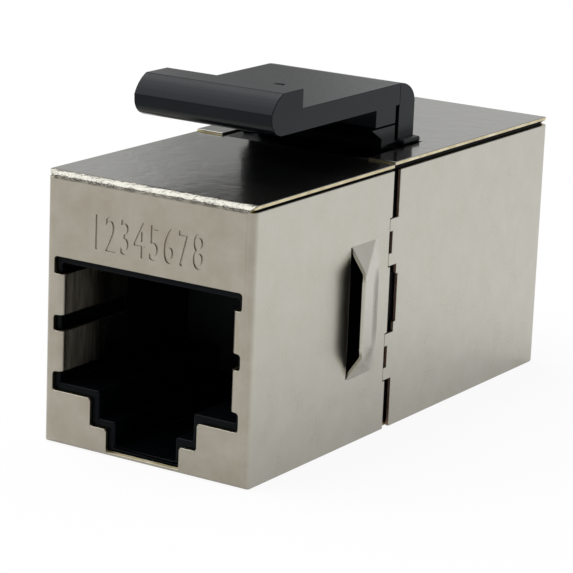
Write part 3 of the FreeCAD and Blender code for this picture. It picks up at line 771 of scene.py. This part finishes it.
def nickel():
    """Satin nickel plate on brass sheet: grey with a warm cast and faint stains. The two port
    faces kept the die's matt, the side walls are satin with upright rolling lines, and the top
    wall is nearly a mirror. The port faces, the top wall and the top-front fold are given a
    darker grey than the side walls, and each louvre a darker band: this is painted shade. The
    lines and the grain of real sheet are some 0.05 mm apart, too fine to show, and are drawn 4
    to 8 times as coarse."""
    material, tree = new_material("satin_nickel_plate")
    place = node(tree, "TexCoord").outputs["Object"]
    axis = node(tree, "SeparateXYZ", links={"Vector": place})
    depth = node(tree, "Math", {"operation": "ABSOLUTE"}, {0: axis.outputs["Y"]}).outputs[0]
    side = node(tree, "Math", {"operation": "ABSOLUTE"}, {0: axis.outputs["X"]}).outputs[0]
    middle = (LOUVRE_LEVELS[0] + LOUVRE_LEVELS[-1]) / 2 * MM
    level = node(tree, "Math", {"operation": "SUBTRACT", 1: middle},
                 {0: axis.outputs["Z"]}).outputs[0]
    off = node(tree, "Math", {"operation": "ABSOLUTE"}, {0: level}).outputs[0]
    # Each mask goes from 0 to 1 between two distances along an axis.
    mouth = HALF_LENGTH - LOUVRE_MOUTH
    at_face, at_top, on_louvre, flank, off_middle = [
        node(tree, "MapRange", {"From Min": first * MM, "From Max": last * MM},
             {"Value": value}).outputs["Result"]
        for value, first, last in ((depth, HALF_LENGTH - 0.5, HALF_LENGTH - 0.2),
                                   (axis.outputs["Z"], HEIGHT - 0.5, HEIGHT - 0.25),
                                   (side, HALF_WIDTH + 0.02, HALF_WIDTH + 0.1),
                                   (depth, mouth - 3.2, mouth - 1.5),
                                   (off, 1.5, 2.6))]
    on_fold = node(tree, "Math", {"operation": "MULTIPLY"}, {0: at_top, 1: at_face}).outputs[0]

    stains = node(tree, "TexNoise", {"Scale": 1 / (1.8 * MM), "Detail": 5.0, "Roughness": 0.6},
                  {"Vector": place}).outputs["Fac"]
    wall = node(tree, "ValToRGB", tones((0.30, "B9B6AA"), (0.55, "BEBBB0"), (0.78, "C2C0B6")),
                {"Fac": stains}).outputs["Color"]
    # The port faces: a darker, warmer grey than the side walls, which is painted shade.
    face = node(tree, "ValToRGB", tones((0.30, "A0998A"), (0.55, "A8A294"), (0.78, "B0AA9E")),
                {"Fac": stains}).outputs["Color"]
    # A darker band on each louvre, from its middle back towards the wall: painted shade.
    louvre_painted_shade = node(tree, "ValToRGB", tones((0.0, "FFFFFF"), (0.08, "BCBCB8"), (0.85, "C8C8C4"),
                                        (0.97, "FFFFFF")), {"Fac": flank}).outputs["Color"]
    louvre_shade_mask = node(tree, "Math", {"operation": "SUBTRACT", "use_clamp": True},
                {0: on_louvre, 1: off_middle}).outputs[0]
    louvre_shade_tint = node(tree, "Mix", {"data_type": "RGBA", 6: linear("FFFFFF")},
                 {"Factor": louvre_shade_mask, 7: louvre_painted_shade}).outputs[2]
    # The top wall: a darker grey than the side walls, which is painted shade.
    sheet = node(tree, "Mix", {"data_type": "RGBA", 7: linear("9A9993")},
                 {"Factor": at_top, 6: wall}).outputs[2]
    walls = node(tree, "Mix", {"data_type": "RGBA", "blend_type": "MULTIPLY", "Factor": 1.0},
                 {6: sheet, 7: louvre_shade_tint}).outputs[2]
    plate = node(tree, "Mix", {"data_type": "RGBA"},
                 {"Factor": at_face, 6: walls, 7: face}).outputs[2]
    # The top-front fold: a darker grey, painted shade that dims the fold's highlight.
    colour = node(tree, "Mix", {"data_type": "RGBA", 7: linear("96948C")},
                  {"Factor": on_fold, 6: plate}).outputs[2]

    satin = node(tree, "MapRange",
                 {"From Min": 0.35, "From Max": 0.7, "To Min": 0.27, "To Max": 0.31},
                 {"Value": stains}).outputs["Result"]
    mirror = node(tree, "Mix", {"data_type": "FLOAT", 3: 0.2},
                  {"Factor": at_top, 2: satin}).outputs[0]
    matt = node(tree, "Mix", {"data_type": "FLOAT", 3: 0.36},
                {"Factor": at_face, 2: mirror}).outputs[0]
    gloss = node(tree, "Mix", {"data_type": "FLOAT", 3: 0.2},
                 {"Factor": on_fold, 2: matt}).outputs[0]

    across = 1 / (0.22 * MM)
    along = node(tree, "Mapping", {"Scale": (across, across, 1 / (6.0 * MM))}, {"Vector": place})
    lines = node(tree, "TexNoise", {"Scale": 1.0, "Detail": 1.0},
                 {"Vector": along.outputs["Vector"]})
    grain = node(tree, "TexNoise", {"Scale": 1 / (0.4 * MM), "Detail": 1.0}, {"Vector": place})
    fine = node(tree, "Bump", {"Strength": 0.06, "Distance": 0.004 * MM},
                {"Height": grain.outputs["Fac"]})
    upright = node(tree, "Bump", {"Strength": 0.12, "Distance": 0.005 * MM},
                   {"Height": lines.outputs["Fac"], "Normal": fine.outputs["Normal"]})
    # The top wall was pressed over the block and is slightly wavy, and the fold under the
    # bending die's edge came out finely uneven.
    swell = node(tree, "TexNoise", {"Scale": 1 / (1.5 * MM), "Detail": 3.0, "Distortion": 0.6},
                 {"Vector": place})
    waves = node(tree, "Math", {"operation": "MULTIPLY"}, {0: swell.outputs["Fac"], 1: at_top})
    pits = node(tree, "TexNoise", {"Scale": 1 / (0.26 * MM), "Detail": 3.0}, {"Vector": place})
    uneven = node(tree, "MapRange",
                  {"From Min": 0.0, "From Max": 1.0, "To Min": -1.8, "To Max": 1.8},
                  {"Value": pits.outputs["Fac"]})
    dents = node(tree, "Math", {"operation": "MULTIPLY"}, {0: uneven.outputs["Result"], 1: on_fold})
    relief = node(tree, "Math", {"operation": "ADD"}, {0: waves.outputs[0], 1: dents.outputs[0]})
    bump = node(tree, "Bump", {"Strength": 1.0, "Distance": 0.03 * MM},
                {"Height": relief.outputs[0], "Normal": upright.outputs["Normal"]})
    shader = node(tree, "BsdfPrincipled",
                  {"Metallic": 1.0, "Coat Weight": 0.3, "Coat Roughness": 0.06},
                  {"Base Color": colour, "Roughness": gloss, "Normal": bump.outputs["Normal"]})
    node(tree, "OutputMaterial", links={"Surface": shader.outputs["BSDF"]})
    return material


def scuffed_nickel():
    """Nickel plate of the ground strips. Plugs have scuffed the first millimetres dull, with
    upright scratches; further in the plate is still bright. The scratches are drawn wider
    apart than real ones, so that they show."""
    material, tree = new_material("scuffed_nickel_strip")
    place = node(tree, "TexCoord").outputs["Object"]
    across = 1 / (0.3 * MM)
    along = node(tree, "Mapping", {"Scale": (across, across, 1 / (2.5 * MM))}, {"Vector": place})
    scratches = node(tree, "TexNoise", {"Scale": 1.0, "Detail": 3.0, "Roughness": 0.6},
                     {"Vector": along.outputs["Vector"]}).outputs["Fac"]
    colour = node(tree, "ValToRGB", tones((0.36, "8A8578"), (0.52, "A7A294"), (0.66, "BDB9AD")),
                  {"Fac": scratches})
    axis = node(tree, "SeparateXYZ", links={"Vector": place})
    depth = node(tree, "Math", {"operation": "ABSOLUTE"}, {0: axis.outputs["Y"]})
    uneven = node(tree, "MapRange", {"From Min": 0.3, "From Max": 0.7,
                                     "To Min": -0.5 * MM, "To Max": 0.5 * MM}, {"Value": scratches})
    reach = node(tree, "Math", {"operation": "ADD"},
                 {0: depth.outputs["Value"], 1: uneven.outputs["Result"]})
    gloss = node(tree, "MapRange", {"From Min": (HALF_LENGTH - 4.8) * MM,
                                    "From Max": (HALF_LENGTH - 2.2) * MM,
                                    "To Min": 0.15, "To Max": 0.6},
                 {"Value": reach.outputs["Value"]})
    bump = node(tree, "Bump", {"Strength": 0.3, "Distance": 0.008 * MM}, {"Height": scratches})
    shader = node(tree, "BsdfPrincipled", {"Metallic": 1.0}, {
        "Base Color": colour.outputs["Color"], "Roughness": gloss.outputs["Result"],
        "Normal": bump.outputs["Normal"]})
    node(tree, "OutputMaterial", links={"Surface": shader.outputs["BSDF"]})
    return material


def sheared_brass(name, low, middle, high, roughness):
    """Cut edge of the sheet, where the plating ends and the brass shows: sheared bright, or
    brown where it has tarnished in the seam."""
    material, tree = new_material(name)
    place = node(tree, "TexCoord").outputs["Object"]
    streaks = node(tree, "TexNoise", {"Scale": 1 / (0.9 * MM), "Detail": 3.0}, {"Vector": place})
    colour = node(tree, "ValToRGB", tones((0.35, low), (0.55, middle), (0.75, high)),
                  {"Fac": streaks.outputs["Fac"]})
    shader = node(tree, "BsdfPrincipled", {"Metallic": 1.0, "Roughness": roughness},
                  {"Base Color": colour.outputs["Color"]})
    node(tree, "OutputMaterial", links={"Surface": shader.outputs["BSDF"]})
    return material


def moulded(name, dark, light, rough_low, rough_high, grain_size, depth, ior=1.45):
    """Black moulded plastic: spark-eroded grain, slightly uneven gloss. Real grain is some
    0.03 mm, too fine to show, and is drawn at the given size in millimetres."""
    material, tree = new_material(name)
    place = node(tree, "TexCoord").outputs["Object"]
    cloud = node(tree, "TexNoise", {"Scale": 1 / (3.0 * MM), "Detail": 4.0}, {"Vector": place})
    grain = node(tree, "TexNoise",
                 {"Scale": 1 / (grain_size * MM), "Detail": 4.0, "Roughness": 0.6},
                 {"Vector": place}).outputs["Fac"]
    colour = node(tree, "ValToRGB", tones((0.35, dark), (0.7, light)),
                  {"Fac": cloud.outputs["Fac"]})
    gloss = node(tree, "MapRange", {"From Min": 0.3, "From Max": 0.7,
                                    "To Min": rough_low, "To Max": rough_high}, {"Value": grain})
    bump = node(tree, "Bump", {"Strength": 0.25, "Distance": depth * MM}, {"Height": grain})
    shader = node(tree, "BsdfPrincipled", {"IOR": ior, "Specular Tint": linear("E8EFF6")}, {
        "Base Color": colour.outputs["Color"], "Roughness": gloss.outputs["Result"],
        "Normal": bump.outputs["Normal"]})
    node(tree, "OutputMaterial", links={"Surface": shader.outputs["BSDF"]})
    return material


def gold_plate():
    """Thin gold over nickel on bronze wire, drawn, so its streaks run along the wire."""
    material, tree = new_material("gold_plated_wire")
    place = node(tree, "TexCoord").outputs["Object"]
    streaks = node(tree, "TexNoise", {"Scale": 1 / (0.15 * MM), "Detail": 2.0}, {"Vector": place})
    colour = node(tree, "ValToRGB", tones((0.3, "C79A45"), (0.7, "E4C06C")),
                  {"Fac": streaks.outputs["Fac"]})
    shader = node(tree, "BsdfPrincipled", {"Metallic": 1.0, "Roughness": 0.22},
                  {"Base Color": colour.outputs["Color"]})
    node(tree, "OutputMaterial", links={"Surface": shader.outputs["BSDF"]})
    return material


def laminate():
    """Glass-fibre circuit board under green solder mask, with its weave just showing. Real
    weave is 0.5 mm, and is drawn at 2 mm."""
    material, tree = new_material("glass_fibre_laminate")
    place = node(tree, "TexCoord").outputs["Object"]
    weave = node(tree, "TexWave", {"Scale": 1 / (2.0 * MM), "Distortion": 1.0,
                                   "bands_direction": "Z"}, {"Vector": place})
    colour = node(tree, "ValToRGB", tones((0.2, "1E4A2E"), (0.8, "2A5C3A")),
                  {"Fac": weave.outputs["Fac"]})
    shader = node(tree, "BsdfPrincipled", {"Roughness": 0.4},
                  {"Base Color": colour.outputs["Color"]})
    node(tree, "OutputMaterial", links={"Surface": shader.outputs["BSDF"]})
    return material


plated_sheet = nickel()
scuffed_strip = scuffed_nickel()
raw_edge = sheared_brass("sheared_brass_edge", "C2B48C", "D6CAA4", "E6DEC4", 0.28)
seam_edge_brass = sheared_brass("tarnished_brass_edge", "A08474", "B69C8C", "CEBCB0", 0.6)
latch_plastic = moulded("black_abs_latch", "0A0D11", "101418", 0.16, 0.26, 0.2, 0.006, ior=1.25)
housing_plastic = moulded("black_pbt_housing", "030508", "07090C", 0.3, 0.4, 0.25, 0.006, ior=1.17)
carrier_plastic = moulded("black_nylon_carrier", "101112", "181A1B", 0.5, 0.6, 0.15, 0.01)
contact_gold = gold_plate()
board_laminate = laminate()

# The first name that is part of a node's own name gives its finish.
FINISHES = (("contact_carrier", carrier_plastic), ("contact", contact_gold),
            ("shell", plated_sheet), ("housing", housing_plastic),
            ("circuit_board", board_laminate), ("latch", latch_plastic))

for name, cad_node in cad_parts.items():
    give(cad_node, next(finish for word, finish in FINISHES if word in name))

front_shield()
rear_shield()
housing("front_block", SEAM_START + HOUSING_SHOWS, rear=False)
housing("rear_block", 2 * HALF_LENGTH - SEAM_END + HOUSING_SHOWS, rear=True)
latch()


# ---- Floor, light and camera ------------------------------------------------------------

def studio_floor():
    """White paper floor, which glossy rays and the camera see pale, and which keeps the
    coupler's shadow."""
    deselect()
    bpy.ops.mesh.primitive_plane_add(size=6, location=(0, 0, 0))
    floor = bpy.context.object
    floor.name = "studio_floor"
    material, tree = new_material("white_paper_floor")
    paper = node(tree, "BsdfDiffuse", {"Color": linear("F6F6F6")})
    white = node(tree, "Emission", {"Color": linear("FFFFFF"), "Strength": 1.0})
    path = node(tree, "LightPath")
    mirrored = node(tree, "Math", {"operation": "MAXIMUM"},
                    {0: path.outputs["Is Glossy Ray"], 1: path.outputs["Is Transmission Ray"]})
    part = node(tree, "Math", {"operation": "MULTIPLY", 1: 0.4}, {0: mirrored.outputs[0]})
    direct = node(tree, "Math", {"operation": "MULTIPLY", 1: 0.92},
                  {0: path.outputs["Is Camera Ray"]})
    seen = node(tree, "Math", {"operation": "MAXIMUM"},
                {0: part.outputs[0], 1: direct.outputs[0]})
    mix = node(tree, "MixShader",
               links={0: seen.outputs[0], 1: paper.outputs[0], 2: white.outputs[0]})
    node(tree, "OutputMaterial", links={"Surface": mix.outputs[0]})
    give(floor, material)


def studio_world():
    """Soft room, dim in front of the coupler and pale behind it."""
    world = bpy.data.worlds.new("studio_room")
    bpy.context.scene.world = world
    world.use_nodes = True
    tree = world.node_tree
    tree.nodes.clear()
    way = node(tree, "TexCoord").outputs["Generated"]
    slope = node(tree, "VectorMath", {"operation": "DOT_PRODUCT", 1: (0.2, 0.95, 0.25)},
                 {0: way})
    level = node(tree, "MapRange",
                 {"From Min": -1.0, "From Max": 1.0, "To Min": 0.0, "To Max": 0.72},
                 {"Value": slope.outputs["Value"]})
    # Two pale backdrops stand behind the coupler, with a dark gap between them.
    across = node(tree, "VectorMath", {"operation": "DOT_PRODUCT", 1: (0.836, 0.549, 0.0)},
                  {0: way})
    aside = node(tree, "Math", {"operation": "ABSOLUTE"}, {0: across.outputs["Value"]})
    gap = node(tree, "MapRange",
               {"From Min": 0.02, "From Max": 0.05, "To Min": 0.55, "To Max": 1.0},
               {"Value": aside.outputs["Value"]})
    strength = node(tree, "Math", {"operation": "MULTIPLY"},
                    {0: level.outputs["Result"], 1: gap.outputs["Result"]})
    room = node(tree, "Background", {"Color": linear("FFFFFF")},
                {"Strength": strength.outputs[0]})
    node(tree, "OutputWorld", links={"Surface": room.outputs[0]})


def overhead_softbox():
    """One soft lamp above the coupler's left-hand side, 1.2 m square, turned to it."""
    data = bpy.data.lights.new("overhead_softbox", "AREA")
    data.shape = "RECTANGLE"
    data.size, data.size_y = 1.2, 1.2
    data.energy = 12.0
    lamp = bpy.data.objects.new("overhead_softbox", data)
    bpy.context.scene.collection.objects.link(lamp)
    lamp.location = (-0.52, -0.24, 0.81)
    lamp.rotation_euler = (-lamp.location).to_track_quat("-Z", "Y").to_euler()


def camera():
    """Long lens at the front's right-hand side, a little above the coupler."""
    azimuth, elevation, roll = (math.radians(a) for a in (32.352, 14.625, 2.296))
    back = Vector((math.sin(azimuth) * math.cos(elevation),
                   -math.cos(azimuth) * math.cos(elevation), math.sin(elevation)))
    level = Vector((math.cos(azimuth), math.sin(azimuth), 0))
    right = level * math.cos(roll) + back.cross(level) * math.sin(roll)
    data = bpy.data.cameras.new("camera")
    data.lens = 168.57
    data.sensor_width = 36
    data.clip_start = 0.01
    lens = bpy.data.objects.new("camera", data)
    bpy.context.scene.collection.objects.link(lens)
    aim = Vector((-1.5708, 0, 7.0498)) * MM
    distance = 169.42 * MM
    turn = Matrix((right, back.cross(right), back)).transposed().to_4x4()
    lens.matrix_world = Matrix.Translation(aim + back * distance) @ turn
    bpy.context.scene.camera = lens


studio_floor()
studio_world()
overhead_softbox()
camera()
bpy.context.scene.view_settings.view_transform = "Standard"
